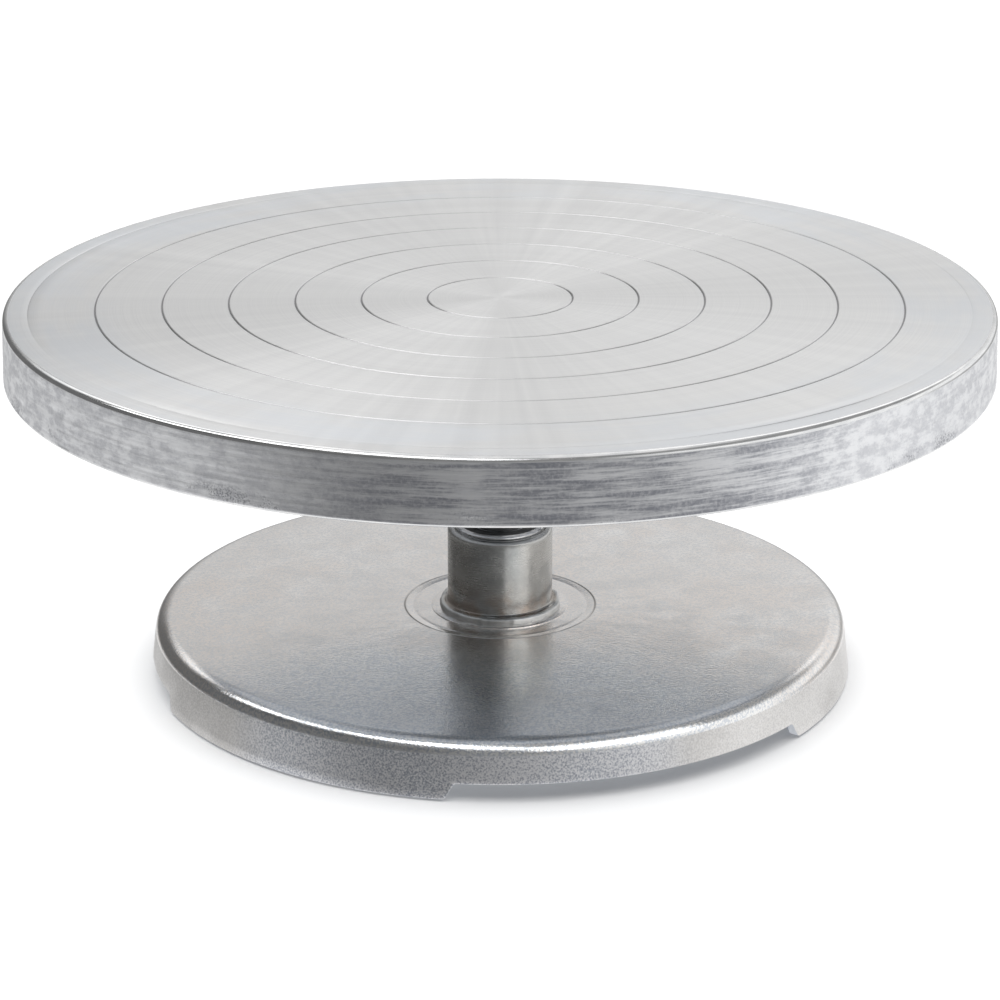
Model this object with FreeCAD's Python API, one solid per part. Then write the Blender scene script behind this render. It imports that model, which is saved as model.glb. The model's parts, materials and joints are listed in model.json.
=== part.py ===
import FreeCAD, Part
import math
import os

from FreeCAD import Vector

# Cake turntable, in millimetres. +Z is up, the turning axis is Z, and the origin is on the
# table surface under the middle of the base.

# Overall
OVERALL_H = 117.5          # table to cake surface
PLATE_R = 150.0            # plate, at the open end of its rim
BASE_R = 109.2             # base, at the foot of its skirt
BASE_H = 17.5              # base casting, without the rubber feet

# Plate: a casting with a machined top and a deep rim
PLATE_RIM_H = 19.7
PLATE_RIM_DRAFT = 0.5      # radius lost from the open end to the top
PLATE_RIM_WALL = 4.0
PLATE_WEB_T = 6.0
PLATE_EDGE_R = 1.6
PLATE_LIP_CHAMFER = 0.8
GROOVE_FIRST_R = 22.0
GROOVE_PITCH = 20.0
GROOVE_W = 0.8
GROOVE_DEPTH = 0.4
GROOVE_MARGIN = 5.0        # least flat land between the last groove and the edge rounding
PLATE_RIB_COUNT = 8
PLATE_RIB_T = 3.5
PLATE_RIB_DEPTH = 3.5
PLATE_RING_RIB_R = 92.0
PLATE_SEAT_T = 5.0         # hub seat below the web
PLATE_SEAT_MARGIN = 4.0    # seat beyond the hub flange

# Hub: carries the plate on the spindle
HUB_FLANGE_T = 8.0
HUB_FLANGE_MARGIN = 1.2    # flange beyond the screw washers, inwards and outwards
HUB_FOOT_WALL = 8.0        # around the spindle at the hub's foot
HUB_FILLET = 1.5

# Hub screws: M6 cap screws with spring washers
SCREW_COUNT = 4
SCREW_FIRST_DEG = 45.0
SCREW_CIRCLE_R = 27.0
SCREW_R = 3.0
SCREW_HOLE_CLEARANCE = 0.3
SCREW_HEAD_R = 5.0
SCREW_HEAD_H = 6.0
SCREW_HEX_AF = 5.0
SCREW_HEX_DEPTH = 3.0
SCREW_TIP_GAP = 1.0
SCREW_COVER = 2.0          # metal left above the screw holes
SPRING_WASHER_R = 5.8
SPRING_WASHER_T = 1.5
SPRING_WASHER_SLOT = 0.9

# Grub screws: M6, from the side of the hub into the spindle
GRUB_R = 3.0
GRUB_ANGLES = (0.0, 90.0)
GRUB_LIFT = 9.0            # centre above the hub's foot
GRUB_SINK = 1.0            # outer end below the hub's surface
GRUB_DOG_R = 2.0
GRUB_DOG_L = 1.2
GRUB_HEX_AF = 3.0
GRUB_HEX_DEPTH = 2.5

# Ball bearings: two 6001 size, 12 x 28 x 8, eight 3/16 inch balls each, sealed both sides.
# The width is what the balls, the cage's rim and the seals need.
BEARING_BORE_R = 6.0
BEARING_OUT_R = 14.0
BALL_D = 4.762
BALL_COUNT = 8
BALL_CLEARANCE = 0.03
RACE_CONFORMITY = 0.52     # race groove radius over ball diameter
RING_CHAMFER = 0.3
RACE_SHOULDER_H = 0.911    # ring lands above the bottom of the race
SEAL_SEAT_WALL = 1.64      # outer ring beside the seal
SEAL_SEAT_DEPTH = 0.9
SEAL_T = 0.7
SEAL_INSET = 0.1
SEAL_LIP_CLEARANCE = 0.12
SEAL_SEAT_CLEARANCE = 0.05
CAGE_LAND_CLEARANCE = 0.45
CAGE_POCKET_CLEARANCE = 0.1
CAGE_SEAL_CLEARANCE = 0.15
CAGE_RIM_T = 0.569         # closed side of the cage, past the pockets
CAGE_OPEN_H = 1.7          # open side of the cage, from the ball centres

# Spindle and what holds it
SPINDLE_COLLAR_H = 6.0
SPINDLE_COLLAR_INSET = 0.1  # collar inside the inner ring's land
SPINDLE_SHANK_STEP = 1.4   # collar beyond the shank in the hub
SPINDLE_TOP_GAP = 0.2
SPINDLE_TAIL = 2.3         # below the circlip groove
SPINDLE_CHAMFER = 0.6
CIRCLIP_T = 1.0
CIRCLIP_GROOVE_W = 1.1
CIRCLIP_GROOVE_DEPTH = 0.28
CIRCLIP_BAND = 2.2
CIRCLIP_GAP_DEG = 40.0
CIRCLIP_LUG_R = 1.8
CIRCLIP_LUG_HOLE_R = 0.75
CIRCLIP_REACH = 3.5        # lugs beyond the journal
THROUGH_CLEARANCE = 0.5    # bore past the circlip lugs
INNER_SPACER_WALL = 2.0
OUTER_SPACER_WALL = 1.6

# Post: turned steel, with the bearings in its bore
POST_H = 26.0              # base top to post rim
POST_WALL = 2.3            # around the bearing seat
POST_RIM_R = 1.4           # outer rounding of the rim
POST_BORE_CHAMFER = 0.6
POST_COLLAR_STEP = 2.8     # collar beyond the post wall
POST_COLLAR_H = 2.0
POST_COLLAR_R = 0.8        # collar edge rounding
POST_FLOOR_H = 3.0         # base top to the lower bearing's shoulder
POST_SHOULDER_W = 2.0
POST_RELIEF_H = 2.5
SPIGOT_WALL = 3.0
SPIGOT_STICKOUT = 0.5      # past the nut
SPIGOT_END_CHAMFER = 0.8
BEARING_PROUD = 1.0        # upper bearing above the post rim

# Nut, washer and plug under the base
NUT_WALL = 5.0             # spigot to the nut's flats
NUT_H = 5.0
NUT_CORNER_CUT = 0.5
WASHER_MARGIN = 1.2        # washer beyond the nut's corners
WASHER_T = 1.6
SPIGOT_TABLE_GAP = 1.3
PLUG_FLANGE_T = 0.8
PLUG_FLANGE_STEP = 1.5
PLUG_BODY_H = 3.0
PLUG_WALL = 1.2

# Base: a shallow casting on three feet
BASE_WEB_T = 5.0
BASE_WALL = 3.0
BASE_DRAFT_DEG = 7.5
BASE_EDGE_R = 5.0
BASE_BOSS_MARGIN = 4.0     # boss beyond the washer
BASE_RIB_COUNT = 6
BASE_RIB_T = 3.5
BASE_RIB_DEPTH = 3.5
SEAT_LAND_STEP = 2.3       # raised land beyond the post collar
SEAT_RECESS_W = 5.8        # flat ring of the recess round the land
SEAT_SLOPE_W = 2.6
SEAT_RECESS_DEPTH = 0.25
FOOT_COUNT = 3
FOOT_FIRST_DEG = -7.0
FOOT_ARC_DEG = 60.0
NOTCH_H = 4.8
NOTCH_FLANK_DEG = 28.0     # slope of the notch ends, from upright
FOOT_INSET = 21.2          # rubber foot centre inside the skirt's foot
FOOT_BOSS_WALL = 2.4       # around the rubber foot's pocket
FOOT_BOSS_LIFT = 2.0       # boss end above the table
PAD_R = 8.0
PAD_POCKET = 1.5
PAD_EDGE_R = 0.8
PAD_PROUD = 0.5            # rubber below the casting
PAD_RING_R = 4.5
PAD_RING_W = 1.2
PAD_RING_DEPTH = 0.6

# Fits
SEAT_CLEARANCE = 0.01      # bearings on their seats, per side
THREAD_CLEARANCE = 0.02    # screws in their holes, per side
BORE_CLEARANCE = 0.02      # spindle in the hub, per side
SPIGOT_CLEARANCE = 0.1
PAD_CLEARANCE = 0.1

# Bearing sizes that follow
BALL_CIRCLE_R = (BEARING_BORE_R + BEARING_OUT_R) / 2
POCKET_R = BALL_D / 2 + CAGE_POCKET_CLEARANCE
CAGE_RIM_H = POCKET_R + CAGE_RIM_T
BEARING_W = 2 * (CAGE_RIM_H + CAGE_SEAL_CLEARANCE + SEAL_T + SEAL_INSET)
INNER_RACE_R = BALL_CIRCLE_R - BALL_D / 2 - BALL_CLEARANCE
OUTER_RACE_R = BALL_CIRCLE_R + BALL_D / 2 + BALL_CLEARANCE
INNER_LAND_R = INNER_RACE_R + RACE_SHOULDER_H
OUTER_LAND_R = OUTER_RACE_R - RACE_SHOULDER_H

# Heights and radii that follow
BASE_TOP = PAD_PROUD + BASE_H
POST_R = BEARING_OUT_R + POST_WALL
POST_COLLAR_OUT_R = POST_R + POST_COLLAR_STEP
POST_TOP = BASE_TOP + POST_H
LOWER_BEARING_Z = BASE_TOP + POST_FLOOR_H
UPPER_BEARING_Z = POST_TOP + BEARING_PROUD - BEARING_W
COLLAR_Z = UPPER_BEARING_Z + BEARING_W
HUB_Z = COLLAR_Z + SPINDLE_COLLAR_H
SEAT_Z = OVERALL_H - PLATE_WEB_T - PLATE_SEAT_T
SCREW_TIP_Z = OVERALL_H - SCREW_COVER - SCREW_TIP_GAP
HUB_FLANGE_R = SCREW_CIRCLE_R + SPRING_WASHER_R + HUB_FLANGE_MARGIN
HUB_NECK_R = SCREW_CIRCLE_R - SPRING_WASHER_R - HUB_FLANGE_MARGIN
PLATE_SEAT_R = HUB_FLANGE_R + PLATE_SEAT_MARGIN
HUB_FLANGE_Z = SEAT_Z - HUB_FLANGE_T
JOURNAL_R = BEARING_BORE_R - SEAT_CLEARANCE
SPINDLE_COLLAR_R = INNER_LAND_R - SPINDLE_COLLAR_INSET
SHANK_R = SPINDLE_COLLAR_R - SPINDLE_SHANK_STEP
HUB_FOOT_R = SHANK_R + HUB_FOOT_WALL
CIRCLIP_TOP = LOWER_BEARING_Z
THROUGH_R = JOURNAL_R + CIRCLIP_REACH + THROUGH_CLEARANCE
SPIGOT_R = THROUGH_R + SPIGOT_WALL
NUT_AF = 2 * (SPIGOT_R + NUT_WALL)
WASHER_R = NUT_AF / math.sqrt(3) + WASHER_MARGIN
BASE_BOSS_R = WASHER_R + BASE_BOSS_MARGIN
NUT_Z = SPIGOT_TABLE_GAP + SPIGOT_STICKOUT
WASHER_Z = NUT_Z + NUT_H
BOSS_Z = WASHER_Z + WASHER_T
FOOT_CIRCLE_R = BASE_R - FOOT_INSET
POCKET_WALL_R = PAD_R + PAD_CLEARANCE
FOOT_BOSS_R = POCKET_WALL_R + FOOT_BOSS_WALL

ORIGIN = Vector(0, 0, 0)
UP = Vector(0, 0, 1)
PAST = 1.0                 # how far a cutting tool runs past the face it cuts


# Building blocks

def turned(profile, degrees=360):
    """Revolve a closed outline of (radius, height) points about Z."""
    points = [Vector(r, 0, z) for r, z in profile]
    face = Part.Face(Part.makePolygon(points + points[:1]))
    return face.revolve(ORIGIN, UP, degrees)


def ring(inner_r, outer_r, z0, z1):
    return turned([(inner_r, z0), (outer_r, z0), (outer_r, z1), (inner_r, z1)])


def rod(radius, z0, z1, x=0.0, y=0.0):
    return Part.makeCylinder(radius, z1 - z0, Vector(x, y, z0), UP)


def hexagon(across_flats, z0, z1):
    corner_r = across_flats / math.sqrt(3)
    corners = [Vector(corner_r * math.cos(math.radians(60 * k)),
                      corner_r * math.sin(math.radians(60 * k)), z0) for k in range(7)]
    return Part.Face(Part.makePolygon(corners)).extrude(Vector(0, 0, z1 - z0))


def spun(shape, degrees):
    """A copy of a shape, turned about Z."""
    copy = shape.copy()
    copy.rotate(ORIGIN, UP, degrees)
    return copy


def spun_copies(shape, angles):
    return [spun(shape, angle) for angle in angles]


def even_angles(count, first=0.0):
    return [first + 360.0 / count * k for k in range(count)]


FOOT_ANGLES = even_angles(FOOT_COUNT, FOOT_FIRST_DEG)
SCREW_ANGLES = even_angles(SCREW_COUNT, SCREW_FIRST_DEG)


def circle_edges(shape, radius, z):
    """The circular edges about Z with this radius at this height."""
    found = []
    for edge in shape.Edges:
        curve = edge.Curve
        if not isinstance(curve, Part.Circle):
            continue
        on_axis = math.hypot(curve.Center.x, curve.Center.y) < 1e-6
        if on_axis and abs(curve.Radius - radius) < 1e-4 and abs(curve.Center.z - z) < 1e-4:
            found.append(edge)
    return found


def rounded(shape, amount, radius, z):
    return shape.makeFillet(amount, circle_edges(shape, radius, z))


def radial_rib(inner_r, outer_r, thickness, z0, z1):
    return Part.makeBox(outer_r - inner_r, thickness, z1 - z0, Vector(inner_r, -thickness / 2, z0))


def save(name, shape):
    shape.exportStep("parts/" + name + ".step")


# Plate assembly

def plate_grooves():
    """V-shaped rings, evenly spaced, in the machined face."""
    last_r = PLATE_R - PLATE_RIM_DRAFT - PLATE_EDGE_R - GROOVE_MARGIN
    count = int((last_r - GROOVE_FIRST_R) // GROOVE_PITCH) + 1
    half = GROOVE_W / 2
    cuts = []
    for k in range(count):
        r = GROOVE_FIRST_R + GROOVE_PITCH * k
        cuts.append(turned([(r - half, OVERALL_H + PAST), (r - half, OVERALL_H),
                            (r, OVERALL_H - GROOVE_DEPTH), (r + half, OVERALL_H),
                            (r + half, OVERALL_H + PAST)]))
    return cuts


def plate_ribs():
    web_z = OVERALL_H - PLATE_WEB_T
    z0 = web_z - PLATE_RIB_DEPTH
    half = PLATE_RIB_T / 2
    outer_r = PLATE_R - PLATE_RIM_DRAFT - PLATE_RIM_WALL + PAST
    rib = radial_rib(PLATE_SEAT_R - PAST, outer_r, PLATE_RIB_T, z0, web_z + PAST)
    ribs = spun_copies(rib, even_angles(PLATE_RIB_COUNT))
    ribs.append(ring(PLATE_RING_RIB_R - half, PLATE_RING_RIB_R + half, z0, web_z + PAST))
    return ribs


def turntable_plate():
    rim_z = OVERALL_H - PLATE_RIM_H
    web_z = OVERALL_H - PLATE_WEB_T
    top_r = PLATE_R - PLATE_RIM_DRAFT
    inner_r = PLATE_R - PLATE_RIM_WALL
    chamfer = PLATE_LIP_CHAMFER
    plate = turned([(0, SEAT_Z), (PLATE_SEAT_R, SEAT_Z), (PLATE_SEAT_R, web_z),
                    (inner_r - PLATE_RIM_DRAFT, web_z), (inner_r, rim_z + chamfer),
                    (inner_r + chamfer, rim_z), (PLATE_R - chamfer, rim_z),
                    (PLATE_R, rim_z + chamfer), (top_r, OVERALL_H), (0, OVERALL_H)])
    plate = rounded(plate, PLATE_EDGE_R, top_r, OVERALL_H)
    plate = plate.fuse(plate_ribs()).removeSplitter()
    cuts = plate_grooves()
    hole = rod(SCREW_R + THREAD_CLEARANCE, SEAT_Z - PAST, OVERALL_H - SCREW_COVER,
               SCREW_CIRCLE_R)
    cuts += spun_copies(hole, SCREW_ANGLES)
    return plate.cut(cuts)


def grub_hole(radius, inner_r, outer_r):
    return Part.makeCylinder(radius, outer_r - inner_r, Vector(inner_r, 0, HUB_Z + GRUB_LIFT),
                             Vector(1, 0, 0))


def hub_side_r(z):
    """Radius of the hub's cone at a height."""
    share = (z - HUB_Z) / (HUB_FLANGE_Z - HUB_Z)
    return HUB_FOOT_R + (HUB_NECK_R - HUB_FOOT_R) * share


def plate_hub():
    bore_r = SHANK_R + BORE_CLEARANCE
    hub = turned([(bore_r, HUB_Z), (HUB_FOOT_R, HUB_Z), (HUB_NECK_R, HUB_FLANGE_Z),
                  (HUB_FLANGE_R, HUB_FLANGE_Z), (HUB_FLANGE_R, SEAT_Z), (bore_r, SEAT_Z)])
    hub = rounded(hub, HUB_FILLET, HUB_FOOT_R, HUB_Z)
    hub = rounded(hub, HUB_FILLET, HUB_FLANGE_R, HUB_FLANGE_Z)
    hole = rod(SCREW_R + SCREW_HOLE_CLEARANCE, HUB_FLANGE_Z - PAST, SEAT_Z + PAST,
               SCREW_CIRCLE_R)
    cuts = spun_copies(hole, SCREW_ANGLES)
    cuts += spun_copies(grub_hole(GRUB_R + THREAD_CLEARANCE, 0, HUB_NECK_R + PAST), GRUB_ANGLES)
    return hub.cut(cuts)


def hub_screw():
    """Cap screw pointing up, on the first axis at the screw circle, with a hex socket."""
    head_top = HUB_FLANGE_Z - SPRING_WASHER_T
    head_z = head_top - SCREW_HEAD_H
    bevel = 0.5
    screw = turned([(0, head_z), (SCREW_HEAD_R - bevel, head_z), (SCREW_HEAD_R, head_z + bevel),
                    (SCREW_HEAD_R, head_top), (SCREW_R, head_top),
                    (SCREW_R, SCREW_TIP_Z - bevel), (SCREW_R - bevel, SCREW_TIP_Z),
                    (0, SCREW_TIP_Z)])
    screw = screw.cut(hexagon(SCREW_HEX_AF, head_z - PAST, head_z + SCREW_HEX_DEPTH))
    screw.translate(Vector(SCREW_CIRCLE_R, 0, 0))
    return screw


def spring_washer():
    """Split ring between a screw's head and the hub flange."""
    top = HUB_FLANGE_Z
    washer = ring(SCREW_R + SPIGOT_CLEARANCE, SPRING_WASHER_R, top - SPRING_WASHER_T, top)
    slot = Part.makeBox(SPRING_WASHER_R, SPRING_WASHER_SLOT, SPRING_WASHER_T + 2 * PAST,
                        Vector(0, -SPRING_WASHER_SLOT / 2, top - SPRING_WASHER_T - PAST))
    slot.rotate(Vector(0, 0, top), Vector(1, 0, 0), 25)
    washer = washer.cut(slot)
    washer.translate(Vector(SCREW_CIRCLE_R, 0, 0))
    return washer


def grub_screw():
    """Dog-point grub screw along the first axis, socket outwards."""
    z = HUB_Z + GRUB_LIFT
    outer_r = hub_side_r(z) - GRUB_SINK
    length = outer_r - SHANK_R
    bevel = 0.4
    grub = turned([(0, -GRUB_DOG_L), (GRUB_DOG_R, -GRUB_DOG_L), (GRUB_DOG_R, bevel),
                   (GRUB_R, 2 * bevel), (GRUB_R, length - bevel), (GRUB_R - bevel, length),
                   (0, length)])
    grub = grub.cut(hexagon(GRUB_HEX_AF, length - GRUB_HEX_DEPTH, length + PAST))
    grub.rotate(ORIGIN, Vector(0, 1, 0), 90)
    grub.translate(Vector(SHANK_R, 0, z))
    return grub


def spindle():
    groove_z = CIRCLIP_TOP - CIRCLIP_GROOVE_W
    tail_z = groove_z - SPINDLE_TAIL
    top = SEAT_Z - SPINDLE_TOP_GAP
    groove_r = JOURNAL_R - CIRCLIP_GROOVE_DEPTH
    chamfer = SPINDLE_CHAMFER
    shaft = turned([(0, tail_z), (JOURNAL_R - chamfer, tail_z), (JOURNAL_R, tail_z + chamfer),
                    (JOURNAL_R, groove_z), (groove_r, groove_z), (groove_r, CIRCLIP_TOP),
                    (JOURNAL_R, CIRCLIP_TOP), (JOURNAL_R, COLLAR_Z),
                    (SPINDLE_COLLAR_R, COLLAR_Z), (SPINDLE_COLLAR_R, HUB_Z), (SHANK_R, HUB_Z),
                    (SHANK_R, top - chamfer), (SHANK_R - chamfer, top), (0, top)])
    dimple = grub_hole(GRUB_DOG_R + THREAD_CLEARANCE,
                       SHANK_R - GRUB_DOG_L - THREAD_CLEARANCE, SHANK_R + PAST)
    return shaft.cut(spun_copies(dimple, GRUB_ANGLES))


def spindle_circlip():
    """External circlip in the spindle's groove, with two eyes for pliers."""
    inner_r = JOURNAL_R - CIRCLIP_GROOVE_DEPTH + THREAD_CLEARANCE
    z0 = CIRCLIP_TOP - CIRCLIP_T
    half_gap = CIRCLIP_GAP_DEG / 2
    band = turned([(inner_r, z0), (inner_r + CIRCLIP_BAND, z0),
                   (inner_r + CIRCLIP_BAND, CIRCLIP_TOP), (inner_r, CIRCLIP_TOP)],
                  360 - CIRCLIP_GAP_DEG)
    band.rotate(ORIGIN, UP, half_gap)
    eye_circle_r = JOURNAL_R + CIRCLIP_REACH - CIRCLIP_LUG_R
    eye_angles = (half_gap, -half_gap)
    eye = rod(CIRCLIP_LUG_R, z0, CIRCLIP_TOP, eye_circle_r)
    eye = eye.cut(rod(inner_r, z0 - PAST, CIRCLIP_TOP + PAST))
    hole = rod(CIRCLIP_LUG_HOLE_R, z0 - PAST, CIRCLIP_TOP + PAST, eye_circle_r)
    clip = band.fuse(spun_copies(eye, eye_angles))
    return clip.cut(spun_copies(hole, eye_angles)).removeSplitter()


# Bearings: each part takes the height of the bearing's lower face

def race_tool(centre_r, z):
    return Part.makeTorus(centre_r, RACE_CONFORMITY * BALL_D, Vector(0, 0, z + BEARING_W / 2), UP)


def bearing_inner_ring(z):
    r0 = BEARING_BORE_R
    r1 = INNER_LAND_R
    top = z + BEARING_W
    c = RING_CHAMFER
    body = turned([(r0 + c, z), (r1 - c, z), (r1, z + c), (r1, top - c),
                   (r1 - c, top), (r0 + c, top), (r0, top - c), (r0, z + c)])
    return body.cut(race_tool(INNER_RACE_R + RACE_CONFORMITY * BALL_D, z))


def bearing_outer_ring(z):
    r1 = BEARING_OUT_R - SEAT_CLEARANCE
    seat_r = BEARING_OUT_R - SEAL_SEAT_WALL
    top = z + BEARING_W
    c = RING_CHAMFER
    d = SEAL_SEAT_DEPTH
    body = turned([(seat_r, z), (r1 - c, z), (r1, z + c), (r1, top - c), (r1 - c, top),
                   (seat_r, top), (seat_r, top - d), (OUTER_LAND_R, top - d),
                   (OUTER_LAND_R, z + d), (seat_r, z + d)])
    return body.cut(race_tool(OUTER_RACE_R - RACE_CONFORMITY * BALL_D, z))


def bearing_seal(z0):
    inner_r = INNER_LAND_R + SEAL_LIP_CLEARANCE
    outer_r = BEARING_OUT_R - SEAL_SEAT_WALL - SEAL_SEAT_CLEARANCE
    return ring(inner_r, outer_r, z0, z0 + SEAL_T)


def bearing_bottom_seal(z):
    return bearing_seal(z + SEAL_INSET)


def bearing_top_seal(z):
    return bearing_seal(z + BEARING_W - SEAL_INSET - SEAL_T)


def ball_centres(z):
    arms = even_angles(BALL_COUNT)
    return [Vector(BALL_CIRCLE_R * math.cos(math.radians(a)),
                   BALL_CIRCLE_R * math.sin(math.radians(a)), z + BEARING_W / 2) for a in arms]


def bearing_balls(z):
    return Part.makeCompound([Part.makeSphere(BALL_D / 2, c) for c in ball_centres(z)])


def bearing_cage(z):
    """Moulded crown cage: a ring closed above the balls and open below them."""
    middle = z + BEARING_W / 2
    inner_r = INNER_LAND_R + CAGE_LAND_CLEARANCE
    outer_r = OUTER_LAND_R - CAGE_LAND_CLEARANCE
    body = ring(inner_r, outer_r, middle - CAGE_OPEN_H, middle + CAGE_RIM_H)
    return body.cut([Part.makeSphere(POCKET_R, c) for c in ball_centres(z)])


def inner_spacer():
    return ring(BEARING_BORE_R, BEARING_BORE_R + INNER_SPACER_WALL,
                LOWER_BEARING_Z + BEARING_W, UPPER_BEARING_Z)


def outer_spacer():
    outer_r = BEARING_OUT_R - SEAT_CLEARANCE
    return ring(outer_r - OUTER_SPACER_WALL, outer_r,
                LOWER_BEARING_Z + BEARING_W, UPPER_BEARING_Z)


# Base assembly

def post():
    """Tube with a collar on the base, a bearing bore and a threaded spigot through the base."""
    relief_z = LOWER_BEARING_Z - POST_RELIEF_H
    relief_r = BEARING_OUT_R - POST_SHOULDER_W
    collar_top = BASE_TOP + POST_COLLAR_H
    c = POST_BORE_CHAMFER
    e = SPIGOT_END_CHAMFER
    body = turned([(THROUGH_R, SPIGOT_TABLE_GAP), (SPIGOT_R - e, SPIGOT_TABLE_GAP),
                   (SPIGOT_R, SPIGOT_TABLE_GAP + e), (SPIGOT_R, BASE_TOP),
                   (POST_COLLAR_OUT_R, BASE_TOP), (POST_COLLAR_OUT_R, collar_top),
                   (POST_R, collar_top), (POST_R, POST_TOP),
                   (BEARING_OUT_R + c, POST_TOP), (BEARING_OUT_R, POST_TOP - c),
                   (BEARING_OUT_R, LOWER_BEARING_Z), (relief_r, LOWER_BEARING_Z),
                   (relief_r, relief_z), (THROUGH_R, relief_z)])
    body = rounded(body, POST_RIM_R, POST_R, POST_TOP)
    return rounded(body, POST_COLLAR_R, POST_COLLAR_OUT_R, collar_top)


def post_washer():
    return ring(SPIGOT_R + SPIGOT_CLEARANCE, WASHER_R, WASHER_Z, WASHER_Z + WASHER_T)


def post_nut():
    """Thin hex nut with its corners turned off at 30 degrees."""
    corner_r = NUT_AF / math.sqrt(3)
    flat_r = NUT_AF / 2 - NUT_CORNER_CUT
    slope = (corner_r - flat_r) * math.tan(math.radians(30))
    top = NUT_Z + NUT_H
    turning = turned([(0, NUT_Z), (flat_r, NUT_Z), (corner_r, NUT_Z + slope),
                      (corner_r, top - slope), (flat_r, top), (0, top)])
    nut = hexagon(NUT_AF, NUT_Z, top).common(turning)
    return nut.cut(rod(SPIGOT_R + THREAD_CLEARANCE, NUT_Z - PAST, top + PAST))


def dust_plug():
    """Plastic cup that closes the bottom of the post's bore."""
    body_r = THROUGH_R - BORE_CLEARANCE
    flange_z = SPIGOT_TABLE_GAP - PLUG_FLANGE_T
    top = SPIGOT_TABLE_GAP + PLUG_BODY_H
    return turned([(0, flange_z), (THROUGH_R + PLUG_FLANGE_STEP, flange_z),
                   (THROUGH_R + PLUG_FLANGE_STEP, SPIGOT_TABLE_GAP), (body_r, SPIGOT_TABLE_GAP),
                   (body_r, top), (body_r - PLUG_WALL, top),
                   (body_r - PLUG_WALL, SPIGOT_TABLE_GAP), (0, SPIGOT_TABLE_GAP)])


def base_shell():
    """Web, sloped skirt, post seat and underside boss, turned about Z."""
    slope = math.tan(math.radians(BASE_DRAFT_DEG))
    web_z = BASE_TOP - BASE_WEB_T
    top_r = BASE_R - BASE_H * slope
    inner_r = BASE_R - BASE_WALL
    inner_top_r = inner_r - (web_z - PAD_PROUD) * slope
    land_r = POST_COLLAR_OUT_R + SEAT_LAND_STEP
    recess_r = land_r + SEAT_RECESS_W
    recess_z = BASE_TOP - SEAT_RECESS_DEPTH
    hole_r = SPIGOT_R + SPIGOT_CLEARANCE
    shell = turned([(hole_r, BOSS_Z), (BASE_BOSS_R, BOSS_Z), (BASE_BOSS_R, web_z),
                    (inner_top_r, web_z), (inner_r, PAD_PROUD), (BASE_R, PAD_PROUD),
                    (top_r, BASE_TOP), (recess_r + SEAT_SLOPE_W, BASE_TOP), (recess_r, recess_z),
                    (land_r, recess_z), (land_r, BASE_TOP), (hole_r, BASE_TOP)])
    return rounded(shell, BASE_EDGE_R, top_r, BASE_TOP)


def notch_end(inner_r, outer_r, root_z):
    """The sloped end of a foot notch, at the first axis: it opens towards the table."""
    low_z = PAD_PROUD - PAST
    out = (root_z - low_z) * math.tan(math.radians(NOTCH_FLANK_DEG))
    corners = [Vector(inner_r, -PAST, low_z), Vector(inner_r, out, low_z),
               Vector(inner_r, 0, root_z), Vector(inner_r, -PAST, root_z)]
    face = Part.Face(Part.makePolygon(corners + corners[:1]))
    return face.extrude(Vector(outer_r - inner_r, 0, 0))


def foot_notch():
    """The gap in the skirt between two feet, centred on the first axis."""
    span = 360.0 / FOOT_COUNT - FOOT_ARC_DEG
    inner_r = FOOT_CIRCLE_R
    outer_r = BASE_R + PAST
    z0 = PAD_PROUD - PAST
    z1 = PAD_PROUD + NOTCH_H
    middle = turned([(inner_r, z0), (outer_r, z0), (outer_r, z1), (inner_r, z1)], span)
    end = notch_end(inner_r, outer_r, z1)
    other_end = end.mirror(ORIGIN, Vector(0, 1, 0))
    return spun(middle, -span / 2).fuse([spun(end, span / 2), spun(other_end, -span / 2)])


def base():
    web_z = BASE_TOP - BASE_WEB_T
    slope = math.tan(math.radians(BASE_DRAFT_DEG))
    rib_r = BASE_R - BASE_WALL - (web_z - PAD_PROUD) * slope + PAST
    rib = radial_rib(BASE_BOSS_R - PAST, rib_r, BASE_RIB_T, web_z - BASE_RIB_DEPTH, web_z + PAST)
    rib_angles = even_angles(BASE_RIB_COUNT, FOOT_FIRST_DEG)
    boss = rod(FOOT_BOSS_R, FOOT_BOSS_LIFT, web_z + PAST, FOOT_CIRCLE_R)
    adds = spun_copies(rib, rib_angles) + spun_copies(boss, FOOT_ANGLES)
    pocket = rod(POCKET_WALL_R, FOOT_BOSS_LIFT - PAST, FOOT_BOSS_LIFT + PAD_POCKET,
                 FOOT_CIRCLE_R)
    notch_angles = [angle + 180.0 / FOOT_COUNT for angle in FOOT_ANGLES]
    cuts = spun_copies(foot_notch(), notch_angles) + spun_copies(pocket, FOOT_ANGLES)
    return base_shell().fuse(adds).removeSplitter().cut(cuts)


def foot_pad(angle):
    """Rubber disc in a boss pocket, with a rounded tread edge and one ring groove."""
    pad = rod(PAD_R, 0, FOOT_BOSS_LIFT + PAD_POCKET)
    pad = rounded(pad, PAD_EDGE_R, PAD_R, 0)
    half = PAD_RING_W / 2
    pad = pad.cut(ring(PAD_RING_R - half, PAD_RING_R + half, -PAST, PAD_RING_DEPTH))
    pad.translate(Vector(FOOT_CIRCLE_R, 0, 0))
    return spun(pad, angle)


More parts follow.
